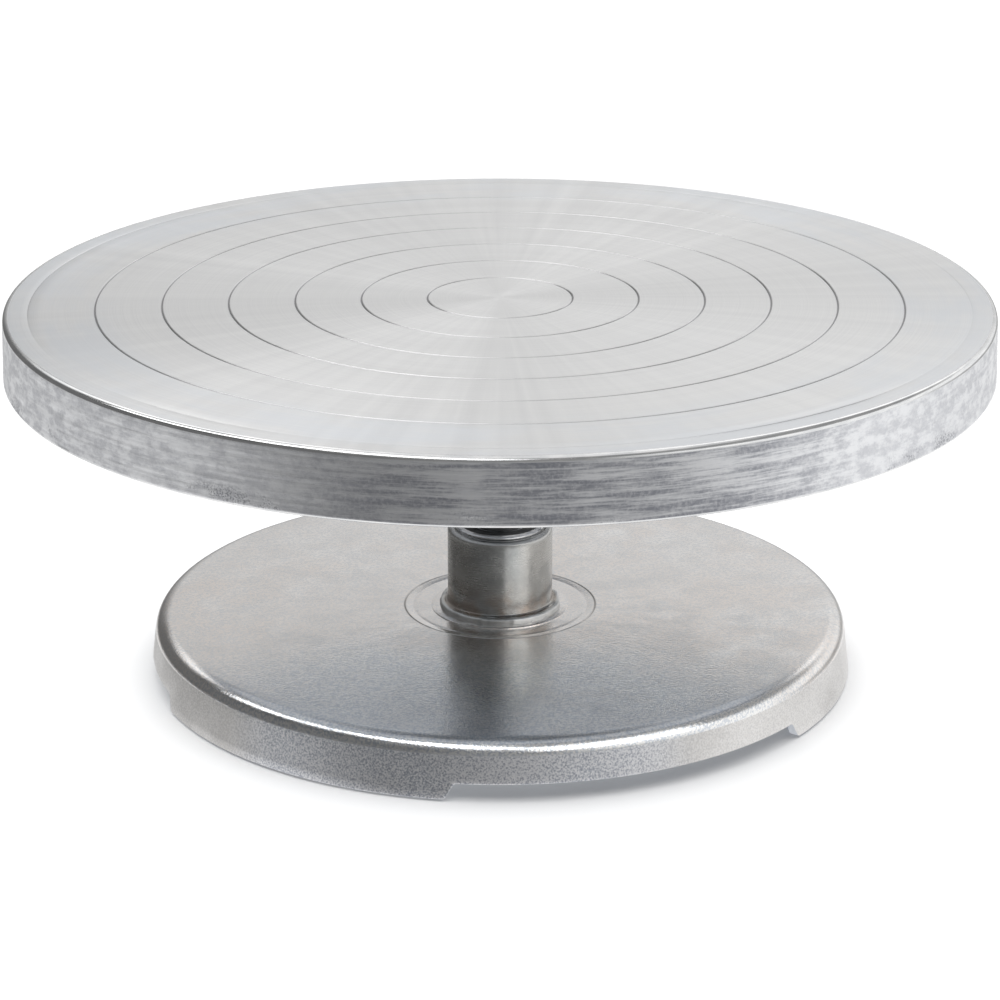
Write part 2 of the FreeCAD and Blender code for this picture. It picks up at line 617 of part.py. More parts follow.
def save_all():
    save("turntable_plate", turntable_plate())
    save("plate_hub", plate_hub())
    save("hub_screws", Part.makeCompound(spun_copies(hub_screw(), SCREW_ANGLES)))
    save("hub_screw_washers", Part.makeCompound(spun_copies(spring_washer(), SCREW_ANGLES)))
    save("hub_grub_screws", Part.makeCompound(spun_copies(grub_screw(), GRUB_ANGLES)))
    save("spindle", spindle())
    save("spindle_circlip", spindle_circlip())
    for side, z in (("upper", UPPER_BEARING_Z), ("lower", LOWER_BEARING_Z)):
        save(side + "_inner_ring", bearing_inner_ring(z))
        save(side + "_outer_ring", bearing_outer_ring(z))
        save(side + "_balls", bearing_balls(z))
        save(side + "_ball_cage", bearing_cage(z))
        save(side + "_top_seal", bearing_top_seal(z))
        save(side + "_bottom_seal", bearing_bottom_seal(z))
    save("inner_spacer", inner_spacer())
    save("outer_spacer", outer_spacer())
    save("post", post())
    save("post_washer", post_washer())
    save("post_nut", post_nut())
    save("dust_plug", dust_plug())
    save("base", base())
    for number, angle in enumerate(FOOT_ANGLES, 1):
        save("foot_pad_" + str(number), foot_pad(angle))


os.makedirs("parts", exist_ok=True)
save_all()
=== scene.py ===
"""Cake turntable: the machined plate, the post and the cast base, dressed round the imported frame."""

import json
import math

import bmesh
import bpy
from mathutils import Euler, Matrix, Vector, noise

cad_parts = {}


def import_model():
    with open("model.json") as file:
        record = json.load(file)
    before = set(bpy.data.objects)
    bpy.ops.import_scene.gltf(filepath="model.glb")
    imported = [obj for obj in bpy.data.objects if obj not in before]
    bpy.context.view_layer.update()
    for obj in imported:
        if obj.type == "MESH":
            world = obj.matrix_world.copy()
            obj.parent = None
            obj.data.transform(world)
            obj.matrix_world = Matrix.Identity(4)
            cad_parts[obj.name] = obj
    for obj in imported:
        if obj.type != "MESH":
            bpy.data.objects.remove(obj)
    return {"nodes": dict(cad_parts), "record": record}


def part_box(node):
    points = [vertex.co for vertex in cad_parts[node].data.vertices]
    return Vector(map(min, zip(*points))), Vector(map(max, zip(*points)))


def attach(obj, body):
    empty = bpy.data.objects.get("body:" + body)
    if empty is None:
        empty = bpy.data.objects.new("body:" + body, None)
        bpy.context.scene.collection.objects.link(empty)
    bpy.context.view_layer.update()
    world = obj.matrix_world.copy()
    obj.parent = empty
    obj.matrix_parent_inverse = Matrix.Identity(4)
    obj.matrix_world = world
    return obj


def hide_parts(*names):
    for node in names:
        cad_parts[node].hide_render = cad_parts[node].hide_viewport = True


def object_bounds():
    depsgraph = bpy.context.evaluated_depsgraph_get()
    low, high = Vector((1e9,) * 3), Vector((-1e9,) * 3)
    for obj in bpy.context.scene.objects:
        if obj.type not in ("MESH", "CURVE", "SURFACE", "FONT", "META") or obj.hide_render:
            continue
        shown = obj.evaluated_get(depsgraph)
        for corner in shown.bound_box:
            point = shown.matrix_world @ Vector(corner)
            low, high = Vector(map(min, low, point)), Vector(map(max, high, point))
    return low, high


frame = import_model()
cad_low, cad_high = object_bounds()

MM = 0.001

# ---------------------------------------------------------------- camera
CAMERA_BACK = 945.98 * MM
CAMERA_HEIGHT = 390.54 * MM
CAMERA_PITCH = 19.677
CAMERA_LENS = 116.7
SENSOR = 36.0

# ---------------------------------------------------------------- plate: sizes as in the CAD source
PLATE_TOP = cad_high.z
PLATE_R = cad_high.x
PLATE_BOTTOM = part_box("turntable_plate")[0].z
PLATE_DRAFT = 0.5 * MM
PLATE_WALL = 4.0 * MM
PLATE_WEB_Z = PLATE_TOP - 6.0 * MM
PLATE_EDGE = 1.6 * MM
PLATE_CHAMFER = 0.8 * MM
PLATE_RIBS = 8
RING_RIB_R = 92.0 * MM
RIB_HALF = 1.75 * MM
RIB_DROP = 3.5 * MM
SEAT_R = 38.0 * MM
SEAT_DROP = 5.0 * MM
SEAT_ROWS = (33.0 * MM, 20.0 * MM)
GROOVE_FIRST = 22.0 * MM
GROOVE_PITCH = 20.0 * MM
GROOVE_COUNT = 7
GROOVE_HALF = 0.4 * MM
GROOVE_DEPTH = 0.4 * MM
SCREW_CIRCLE = 27.0 * MM
SCREW_R = 3.1 * MM
SCREW_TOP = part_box("hub_screws")[1].z + 0.5 * MM

# ---------------------------------------------------------------- base
BASE_LOW, BASE_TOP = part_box("base")[0].z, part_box("base")[1].z
BASE_R = 109.2 * MM
BASE_SLOPE = math.tan(math.radians(7.5))
BASE_EDGE = 5.0 * MM
BASE_WALL = 3.0 * MM
BASE_WEB_Z = BASE_TOP - 5.0 * MM
BASE_RIBS = 6
BOSS_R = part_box("post_washer")[1].x + 4.0 * MM
BOSS_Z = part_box("post_washer")[1].z
HOLE_R = 13.09 * MM
LAND_R = 21.4 * MM
RECESS_R = 27.2 * MM
SLOPE_R = 29.8 * MM
RECESS_DEPTH = 0.25 * MM
FOOT_ANGLES = (-7.0, 113.0, 233.0)
FOOT_HALF = 30.0
NOTCH_H = 4.8 * MM
NOTCH_FLANK = math.tan(math.radians(28.0))
NOTCH_SOFT = 0.5 * MM
SKIRT_EDGE = 0.2 * MM
FOOT_CIRCLE = 88.0 * MM
FOOT_BOSS_R = 10.5 * MM
FOOT_BOSS_Z = 2.0 * MM
POCKET_R = 8.1 * MM
POCKET_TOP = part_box("foot_pad_1")[1].z

# ---------------------------------------------------------------- post
POST_LOW, POST_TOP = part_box("post")[0].z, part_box("post")[1].z
POST_R = 16.3 * MM
POST_RIM = 1.4 * MM
COLLAR_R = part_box("post")[1].x
COLLAR_TOP = BASE_TOP + 2.0 * MM
BEARING_R = 14.0 * MM
BEARING_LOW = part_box("lower_outer_ring")[0].z
RELIEF_R = 12.0 * MM
RELIEF_Z = BEARING_LOW - 2.5 * MM
THROUGH_R = 9.99 * MM
SPIGOT_R = 12.99 * MM
COLLAR_LIP = 0.8 * MM
COLLAR_FLAT = 1.3 * MM      # from the tube to the edge of the collar's flat top
COLLAR_NECK = 0.8 * MM      # fillet between the collar and the tube
BORE_CHAMFER = 0.6 * MM
SPIGOT_CHAMFER = 0.8 * MM
COLLAR_SHORT = 0.35 * MM    # how far the collar's edge falls short, and how much that varies
COLLAR_SWING = 0.5 * MM
WASTE_IN, WASTE_DOWN = 0.7, 0.6
# Lumps along the collar's edge: where each one is and how wide, in degrees.
COLLAR_BEADS = ((-109.0, 5.0), (-76.0, 4.0), (-60.0, 7.0), (-42.0, 6.0))
COLLAR_BEADS += ((18.0, 6.0), (95.0, 5.0), (150.0, 8.0))

ROUND = 540                 # points round the plate and the base


# ---------------------------------------------------------------- mesh building blocks
class Rings:
    """A surface round the axis, made of rows of points, each joined to the row before it."""

    def __init__(self):
        self.points = []
        self.faces = []
        self.kinds = []
        self.rows = []

    def row(self, angles, radius, height, kind=0):
        """radius and height are numbers, or functions of the angle in degrees."""
        start = len(self.points)
        for angle in angles:
            r = radius(angle) if callable(radius) else radius
            z = height(angle) if callable(height) else height
            a = math.radians(angle)
            self.points.append((r * math.cos(a), r * math.sin(a), z))
        self.rows.append((start, angles))
        if len(self.rows) > 1:
            self.join(self.rows[-2], self.rows[-1], kind)

    def join(self, first, second, kind):
        """Quads between rows with the same angles, and otherwise a strip of triangles."""
        (a, angles_a), (b, angles_b) = first, second
        n, m = len(angles_a), len(angles_b)
        made = []
        if angles_a == angles_b:
            made = [(a + k, b + k, b + (k + 1) % n, a + (k + 1) % n) for k in range(n)]
        else:
            i, j = (n if n == 1 else 0), (m if m == 1 else 0)
            while i < n or j < m:
                next_a = (angles_a + [angles_a[0] + 360.0])[i + 1] if i < n else math.inf
                next_b = (angles_b + [angles_b[0] + 360.0])[j + 1] if j < m else math.inf
                if next_a <= next_b:
                    made.append((a + i, b + j % m, a + (i + 1) % n))
                    i += 1
                else:
                    made.append((a + i % n, b + j, b + (j + 1) % m))
                    j += 1
        self.faces += made
        self.kinds += [kind] * len(made)

    def close(self, kind=0):
        """Joins the last row to the first, for a body with a hole through it."""
        self.join(self.rows[-1], self.rows[0], kind)

    def mesh(self, name):
        made = bpy.data.meshes.new(name)
        made.from_pydata(self.points, [], self.faces)
        made.polygons.foreach_set("material_index", self.kinds)
        return made


def evenly(count):
    return [360.0 * k / count for k in range(count)]


def between(start, end, gap):
    """Values from just past start to just before end, about gap apart."""
    count = max(1, round(abs(end - start) / gap))
    return [start + (end - start) * k / count for k in range(1, count)]


def bend(centre_r, centre_z, radius, start, end, steps):
    """(radius, height) points on an arc, with angles in degrees from outwards towards up."""
    angles = [math.radians(start + (end - start) * k / steps) for k in range(steps + 1)]
    return [(centre_r + radius * math.cos(a), centre_z + radius * math.sin(a)) for a in angles]


def drift(angle, turns, seed):
    """A smooth value, mostly from -0.5 to 0.5, that changes round the ring and meets itself."""
    a = math.radians(angle)
    return noise.noise(Vector((turns * math.cos(a), turns * math.sin(a), seed)))


def smooth(mesh):
    mesh.polygons.foreach_set("use_smooth", [True] * len(mesh.polygons))
    mesh.set_sharp_from_angle(angle=math.radians(35.0))
    mesh.update()


def add(name, mesh, body, materials, node):
    """A piece of the object that stands for a CAD node."""
    piece = bpy.data.objects.new(name, mesh)
    bpy.context.scene.collection.objects.link(piece)
    for material in materials:
        mesh.materials.append(material)
    smooth(mesh)
    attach(piece, body)
    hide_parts(node)
    return piece


def combine(piece, tools, operation):
    """Fuses other bodies with the piece's mesh, or cuts them out of it."""
    for tool in tools:
        step = piece.modifiers.new("combine", "BOOLEAN")
        step.operation, step.solver, step.object = operation, "MANIFOLD", tool
    made = bpy.data.meshes.new_from_object(piece.evaluated_get(bpy.context.evaluated_depsgraph_get()))
    piece.modifiers.clear()
    piece.data = made
    for tool in tools:
        bpy.data.objects.remove(tool)
    smooth(made)


def tool_body(rings, materials, x, y):
    body = bpy.data.objects.new("tool", rings.mesh("tool"))
    for material in materials:
        body.data.materials.append(material)
    bpy.context.scene.collection.objects.link(body)
    body.location = (x, y, 0.0)
    return body


# ---------------------------------------------------------------- cast shapes
CORNER = 0.5 * MM
FLANK = 0.25 * MM
FOOT = 1.2 * MM
EDGE_STOPS = [-CORNER, -0.5 * CORNER, -0.15 * CORNER, 0.0, FLANK]
EDGE_STOPS += [FLANK + FOOT * share for share in (0.04, 0.16, 0.38, 0.68, 1.0)]
PLATE_CORNER = 1.5 * MM     # fillets where the web meets the wall, and their rows in millimetres
PLATE_CORNER_ROWS = (0.15, 0.4, 0.75, 1.1, 1.5)
BASE_CORNER = 2.0 * MM
BASE_CORNER_ROWS = (0.2, 0.5, 0.9, 1.4, 2.0)


def cast_step(past, depth):
    """Depth at a distance past a cast edge: a rounded corner, a steep side, and a fillet at its foot."""
    if past <= -CORNER:
        return depth
    if past <= 0.0:
        return depth - CORNER + math.sqrt(CORNER**2 - (past + CORNER) ** 2)
    if past <= FLANK:
        return depth - CORNER + (FOOT - depth + CORNER) * past / FLANK
    rest = FLANK + FOOT - past
    return FOOT - math.sqrt(FOOT**2 - rest**2) if rest > 0.0 else 0.0


def wall_fillet(gap, radius):
    """Depth at a distance from a wall that the web meets in a fillet."""
    rest = radius - gap
    return radius - math.sqrt(max(0.0, radius**2 - rest**2)) if rest > 0.0 else 0.0


def rib_depth(r, angle, count, first):
    half_bay = 180.0 / count
    offset = abs((angle - first + half_bay) % (2 * half_bay) - half_bay)
    return cast_step(r * math.sin(math.radians(offset)) - RIB_HALF, RIB_DROP)


def rib_columns(count, first, radius, bays):
    """Angles that follow the sides of evenly spaced radial ribs at this radius."""
    reach = [math.degrees(math.asin((RIB_HALF + stop) / radius)) for stop in EDGE_STOPS]
    around = [-a for a in reversed(reach)] + [0.0] + reach
    around += between(reach[-1], 360.0 / count - reach[-1], 360.0 / count / bays)
    angles = [(first + 360.0 * k / count + a) % 360.0 for k in range(count) for a in around]
    return sorted(angles)


# ---------------------------------------------------------------- the plate
TOP, RIM, LIP, CAST = range(4)
RIM_MARK = 0.05 * MM


def groove_depth(number, angle):
    """The outermost ring is cut lightly and comes and goes; the others are even."""
    if number < GROOVE_COUNT - 1:
        return GROOVE_DEPTH
    return GROOVE_DEPTH * min(0.6, max(0.1, 0.33 + 0.8 * drift(angle, 2.0, 4.2)))


def plate_top(rings):
    around = evenly(ROUND)
    rings.row([0.0], 0.0, PLATE_TOP)
    rings.row(around, 0.6 * MM, PLATE_TOP, TOP)
    reached = 0.6 * MM
    for k in range(GROOVE_COUNT):
        middle = GROOVE_FIRST + GROOVE_PITCH * k
        for r in between(reached, middle - GROOVE_HALF, 4.0 * MM):
            rings.row(around, r, PLATE_TOP, TOP)
        for across, share in ((-1.0, 0.0), (-0.7, 0.3), (0.0, 1.0), (0.7, 0.3), (1.0, 0.0)):
            height = lambda angle: PLATE_TOP - share * groove_depth(k, angle)
            rings.row(around, middle + across * GROOVE_HALF, height, TOP)
        reached = middle + GROOVE_HALF
    edge_r = rim_radius(PLATE_TOP) - PLATE_EDGE
    for r in between(reached, edge_r, 2.0 * MM):
        rings.row(around, r, PLATE_TOP, TOP)
    for number, (r, z) in enumerate(bend(edge_r, PLATE_TOP - PLATE_EDGE, PLATE_EDGE, 90.0, 2.0, 10)):
        rings.row(around, r, z, LIP if number else TOP)


def rim_radius(z):
    share = (PLATE_TOP - z) / (PLATE_TOP - PLATE_BOTTOM - PLATE_CHAMFER)
    return PLATE_R - PLATE_DRAFT * (1.0 - min(1.0, share))


def plate_rim(rings):
    """Coarse turning marks, a few hundredths deep, that come and go along the rim."""
    around = evenly(ROUND)
    low = PLATE_BOTTOM + PLATE_CHAMFER
    for z in between(PLATE_TOP - PLATE_EDGE, low, 0.45 * MM):
        wide, narrow = z / (1.1 * MM), z / (0.5 * MM)
        mark = lambda angle: 0.5 - drift(angle, 3.0, wide) - 0.5 * drift(angle, 11.0, narrow)
        rings.row(around, lambda angle: rim_radius(z) - RIM_MARK * max(0.0, mark(angle)), z, RIM)
    rings.row(around, PLATE_R, low, RIM)
    rings.row(around, PLATE_R - 0.25 * MM, low - 0.5 * MM, LIP)
    rings.row(around, PLATE_R - PLATE_CHAMFER, PLATE_BOTTOM, LIP)


def plate_depth(r, angle):
    """How far the cast underside stands below the web."""
    ribs = rib_depth(r, angle, PLATE_RIBS, 0.0)
    ring = cast_step(abs(r - RING_RIB_R) - RIB_HALF, RIB_DROP)
    seat = cast_step(r - SEAT_R, SEAT_DROP)
    corner = wall_fillet(rim_radius(PLATE_TOP) - PLATE_WALL - r, PLATE_CORNER)
    return max(ribs, ring, seat, corner)


def plate_underside(rings):
    wall_r = rim_radius(PLATE_TOP) - PLATE_WALL
    low_r, low = PLATE_R - PLATE_WALL, PLATE_BOTTOM + PLATE_CHAMFER
    columns = rib_columns(PLATE_RIBS, 0.0, wall_r, 16)
    rings.row(columns, low_r + PLATE_CHAMFER, PLATE_BOTTOM, LIP)
    rings.row(columns, low_r, low, LIP)
    for share in (0.35, 0.7, 1.0):
        height = lambda angle: low + (PLATE_WEB_Z - plate_depth(wall_r, angle) - low) * share
        rings.row(columns, low_r + (wall_r - low_r) * share, height, CAST)
    ring_in, ring_out = RING_RIB_R - RIB_HALF, RING_RIB_R + RIB_HALF
    stops = [wall_r - gap * MM for gap in PLATE_CORNER_ROWS]
    stops += between(stops[-1], ring_out + EDGE_STOPS[-1], 6.0 * MM)
    stops += [ring_out + stop for stop in reversed(EDGE_STOPS)]
    stops += [ring_in - stop for stop in EDGE_STOPS]
    stops += between(ring_in - EDGE_STOPS[-1], SEAT_R + EDGE_STOPS[-1], 6.0 * MM)
    stops += [SEAT_R + stop for stop in reversed(EDGE_STOPS)]
    for r in stops:
        columns = rib_columns(PLATE_RIBS, 0.0, r, 16)
        rings.row(columns, r, lambda angle: PLATE_WEB_Z - plate_depth(r, angle), CAST)
    for r in SEAT_ROWS:
        rings.row(evenly(96), r, PLATE_WEB_Z - SEAT_DROP, CAST)
    rings.row([0.0], 0.0, PLATE_WEB_Z - SEAT_DROP, CAST)


def screw_hole(materials, angle):
    rings = Rings()
    around = evenly(48)
    rings.row([0.0], 0.0, SCREW_TOP)
    rings.row(around, SCREW_R, SCREW_TOP, CAST)
    rings.row(around, SCREW_R, PLATE_WEB_Z - SEAT_DROP - MM, CAST)
    rings.row([0.0], 0.0, PLATE_WEB_Z - SEAT_DROP - MM, CAST)
    a = math.radians(angle)
    return tool_body(rings, materials, SCREW_CIRCLE * math.cos(a), SCREW_CIRCLE * math.sin(a))


def turntable_plate(materials):
    rings = Rings()
    plate_top(rings)
    plate_rim(rings)
    plate_underside(rings)
    piece = add("plate_casting", rings.mesh("plate_casting"), "plate", materials,
                "turntable_plate")
    combine(piece, [screw_hole(materials, 45.0 + 90.0 * k) for k in range(4)], "DIFFERENCE")
    return piece


# ---------------------------------------------------------------- the base
FACE, SKIRT, HIDDEN = range(3)


def foot_offset(angle):
    """Angle from the middle of the nearest foot."""
    return min(abs((angle - middle + 180.0) % 360.0 - 180.0) for middle in FOOT_ANGLES)


def notch_ends():
    """Angles close together where the skirt's edge rises from a foot into a notch."""
    flank = math.degrees(NOTCH_H * NOTCH_FLANK / BASE_R)
    shares = [k / 8.0 for k in range(-4, 13)]
    return [(middle + side * (FOOT_HALF - flank * share)) % 360.0
            for middle in FOOT_ANGLES for side in (-1, 1) for share in shares]


def base_columns():
    kept = []
    for angle in sorted(evenly(ROUND) + notch_ends()):
        if not kept or angle - kept[-1] > 0.03:
            kept.append(angle)
    return kept


def soft_step(value):
    """0 below zero and the value above it, with a soft corner."""
    share = value / NOTCH_SOFT
    return NOTCH_SOFT * math.log1p(math.exp(max(-30.0, share))) if share < 30.0 else value


def foot_edge(angle):
    """Height of the skirt's lower edge: down on a foot, up in a notch, with sloped ends."""
    past = (foot_offset(angle) - FOOT_HALF) * math.radians(BASE_R)
    rise = past / NOTCH_FLANK + NOTCH_H
    return BASE_LOW + min(NOTCH_H, soft_step(rise) - soft_step(rise - NOTCH_H))


def skirt_radius(z):
    return BASE_R - (z - BASE_LOW) * BASE_SLOPE


def base_top(rings, around):
    """A raised land round the post, a shallow recess with a scribed line at each side, and a round edge."""
    sunk = BASE_TOP - RECESS_DEPTH
    line = 0.2 * MM
    outline = [(HOLE_R, BASE_TOP), (LAND_R - 0.15 * MM, BASE_TOP)]
    outline += [(LAND_R, BASE_TOP - 0.05 * MM), (LAND_R, sunk)]
    outline += [(r, sunk) for r in between(LAND_R, RECESS_R - line, 1.5 * MM)]
    outline += [(RECESS_R - line, sunk), (RECESS_R, sunk - 0.05 * MM)]
    outline += [(RECESS_R + line, sunk + 0.02 * MM), (SLOPE_R - line, BASE_TOP - 0.02 * MM)]
    outline += [(SLOPE_R, BASE_TOP - 0.25 * MM), (SLOPE_R + line, BASE_TOP)]
    edge_z = BASE_TOP - BASE_EDGE
    edge_r = skirt_radius(edge_z) - BASE_EDGE * math.hypot(1.0, BASE_SLOPE)
    outline += [(r, BASE_TOP) for r in between(SLOPE_R + line, edge_r, 4.0 * MM)]
    outline += bend(edge_r, edge_z, BASE_EDGE, 90.0, 7.5, 20)
    for r, z in outline:
        rings.row(around, r, z, FACE)
    return outline[-1][1]


def base_skirt(rings, around, top):
    for share in (0.2, 0.4, 0.6, 0.8, 1.0):
        height = lambda angle: top + (foot_edge(angle) + SKIRT_EDGE - top) * share
        rings.row(around, lambda angle: skirt_radius(height(angle)), height, SKIRT)
    for turn in (30.0, 60.0, 90.0):
        back = SKIRT_EDGE * (1.0 - math.cos(math.radians(turn)))
        up = SKIRT_EDGE * (1.0 - math.sin(math.radians(turn)))
        rings.row(around, lambda angle: skirt_radius(foot_edge(angle) + SKIRT_EDGE) - back,
                  lambda angle: foot_edge(angle) + up, SKIRT)


def base_depth(r, angle, wall_r):
    """How far the cast underside stands below the web."""
    ribs = rib_depth(r, angle, BASE_RIBS, FOOT_ANGLES[0])
    boss = cast_step(r - BOSS_R, BASE_WEB_Z - BOSS_Z)
    return max(ribs, boss, wall_fillet(wall_r - r, BASE_CORNER))


def base_underside(rings, around):
    wall_r = skirt_radius(BASE_WEB_Z) - BASE_WALL
    low = BASE_LOW + NOTCH_H + 1.5 * MM
    rings.row(around, lambda angle: skirt_radius(foot_edge(angle)) - BASE_WALL, foot_edge, HIDDEN)
    columns = rib_columns(BASE_RIBS, FOOT_ANGLES[0], wall_r, 24)
    for share in (0.0, 0.5, 1.0):
        height = lambda angle: low + (BASE_WEB_Z - base_depth(wall_r, angle, wall_r) - low) * share
        rings.row(columns, lambda angle: skirt_radius(height(angle)) - BASE_WALL, height, HIDDEN)
    stops = [wall_r - gap * MM for gap in BASE_CORNER_ROWS]
    stops += between(stops[-1], BOSS_R + EDGE_STOPS[-1], 5.0 * MM)
    stops += [BOSS_R + stop for stop in reversed(EDGE_STOPS)]
    for r in stops:
        columns = rib_columns(BASE_RIBS, FOOT_ANGLES[0], r, 24)
        rings.row(columns, r, lambda angle: BASE_WEB_Z - base_depth(r, angle, wall_r), HIDDEN)
    rings.row(evenly(180), HOLE_R, BOSS_Z, HIDDEN)


def foot_boss(materials, angle):
    """The round boss under the web that holds a rubber foot, with its pocket."""
    rings = Rings()
    around = evenly(96)
    web = BASE_WEB_Z
    outline = [(FOOT_BOSS_R + FOOT, web + MM), (FOOT_BOSS_R + FOOT, web)]
    outline += bend(FOOT_BOSS_R + FOOT, web - FOOT, FOOT, 90.0, 180.0, 5)[1:]
    outline += bend(FOOT_BOSS_R - CORNER, FOOT_BOSS_Z + CORNER, CORNER, 0.0, -90.0, 4)
    outline += [(POCKET_R + 0.2 * MM, FOOT_BOSS_Z), (POCKET_R, FOOT_BOSS_Z + 0.2 * MM)]
    outline += [(POCKET_R, POCKET_TOP)]
    rings.row([0.0], 0.0, web + MM)
    for r, z in outline:
        rings.row(around, r, z, HIDDEN)
    rings.row([0.0], 0.0, POCKET_TOP, HIDDEN)
    a = math.radians(angle)
    return tool_body(rings, materials, FOOT_CIRCLE * math.cos(a), FOOT_CIRCLE * math.sin(a))


def base(materials):
    rings = Rings()
    around = base_columns()
    base_skirt(rings, around, base_top(rings, around))
    base_underside(rings, around)
    rings.close(HIDDEN)
    piece = add("base_casting", rings.mesh("base_casting"), "base", materials, "base")
    combine(piece, [foot_boss(materials, angle) for angle in FOOT_ANGLES], "UNION")


# ---------------------------------------------------------------- the post
def bead(angle):
    """Small lumps left along the collar where the post was pressed in."""
    lump = 0.0
    for middle, width in COLLAR_BEADS:
        off = (angle - middle + 180.0) % 360.0 - 180.0
        lump += math.exp(-((off / width) ** 2))
    return min(1.0, lump)


def collar_waste(angle):
    """How far the collar's edge falls short of its full size."""
    return (COLLAR_SHORT + COLLAR_SWING * drift(angle, 4.0, 1.5)) * (1.0 - bead(angle))


def post(materials):
    """Turned tube on an uneven collar, with the bearing seat, shoulder and spigot inside and below."""
    collar = [(COLLAR_R - 0.1 * MM, BASE_TOP), (COLLAR_R, BASE_TOP + 0.15 * MM)]
    collar += bend(COLLAR_R - COLLAR_LIP, COLLAR_TOP - COLLAR_LIP, COLLAR_LIP, 0.0, 90.0, 7)
    collar += [(POST_R + COLLAR_FLAT, COLLAR_TOP)]
    neck = COLLAR_TOP + COLLAR_NECK
    wall = bend(POST_R + COLLAR_NECK, neck, COLLAR_NECK, 270.0, 180.0, 6)
    wall += [(POST_R, z) for z in between(neck, POST_TOP - POST_RIM, MM)]
    wall += bend(POST_R - POST_RIM, POST_TOP - POST_RIM, POST_RIM, 0.0, 90.0, 8)
    bore = [(BEARING_R + BORE_CHAMFER, POST_TOP), (BEARING_R, POST_TOP - BORE_CHAMFER)]
    bore += [(BEARING_R, BEARING_LOW), (RELIEF_R, BEARING_LOW), (RELIEF_R, RELIEF_Z)]
    bore += [(THROUGH_R, RELIEF_Z)]
    spigot = [(THROUGH_R, POST_LOW), (SPIGOT_R - SPIGOT_CHAMFER, POST_LOW)]
    spigot += [(SPIGOT_R, POST_LOW + SPIGOT_CHAMFER), (SPIGOT_R, BASE_TOP)]
    rings = Rings()
    around = evenly(360)
    for r, z in reversed(spigot + collar + wall + bore):
        short = collar_waste if (r, z) in collar else lambda angle: 0.0
        down = WASTE_DOWN if z > BASE_TOP else 0.0
        rings.row(around, lambda angle: r - WASTE_IN * short(angle), lambda angle: z - down * short(angle))
    rings.close()
    add("post_tube", rings.mesh("post_tube"), "base", materials, "post")


# ---------------------------------------------------------------- shader building blocks
class Nodes:
    """A node tree under construction: every method adds a node and returns the socket it gives."""

    def __init__(self, tree):
        self.tree = tree

    def node(self, kind, **settings):
        made = self.tree.nodes.new(kind)
        for key, value in settings.items():
            setattr(made, key, value)
        return made

    def link(self, source, target):
        if isinstance(source, bpy.types.NodeSocket):
            self.tree.links.new(source, target)
        else:
            target.default_value = source

    def maths(self, operation, *values):
        made = self.node("ShaderNodeMath", operation=operation)
        for value, socket in zip(values, made.inputs):
            self.link(value, socket)
        return made.outputs[0]

    def both(self, first, second):
        """Two values multiplied: for two masks, the share where both hold."""
        return self.maths("MULTIPLY", first, second)

    def spread(self, value, low, high, to_low=0.0, to_high=1.0):
        """value from low..high taken to to_low..to_high along a soft curve, and held there beyond."""
        made = self.node("ShaderNodeMapRange", interpolation_type="SMOOTHSTEP")
        for number, socket in zip((value, low, high, to_low, to_high), made.inputs):
            self.link(number, socket)
        return made.outputs[0]

    def mixed(self, share, first, second):
        """From one number to another by share."""
        made = self.node("ShaderNodeMix")
        for number, socket in ((share, 0), (first, 2), (second, 3)):
            self.link(number, made.inputs[socket])
        return made.outputs[0]


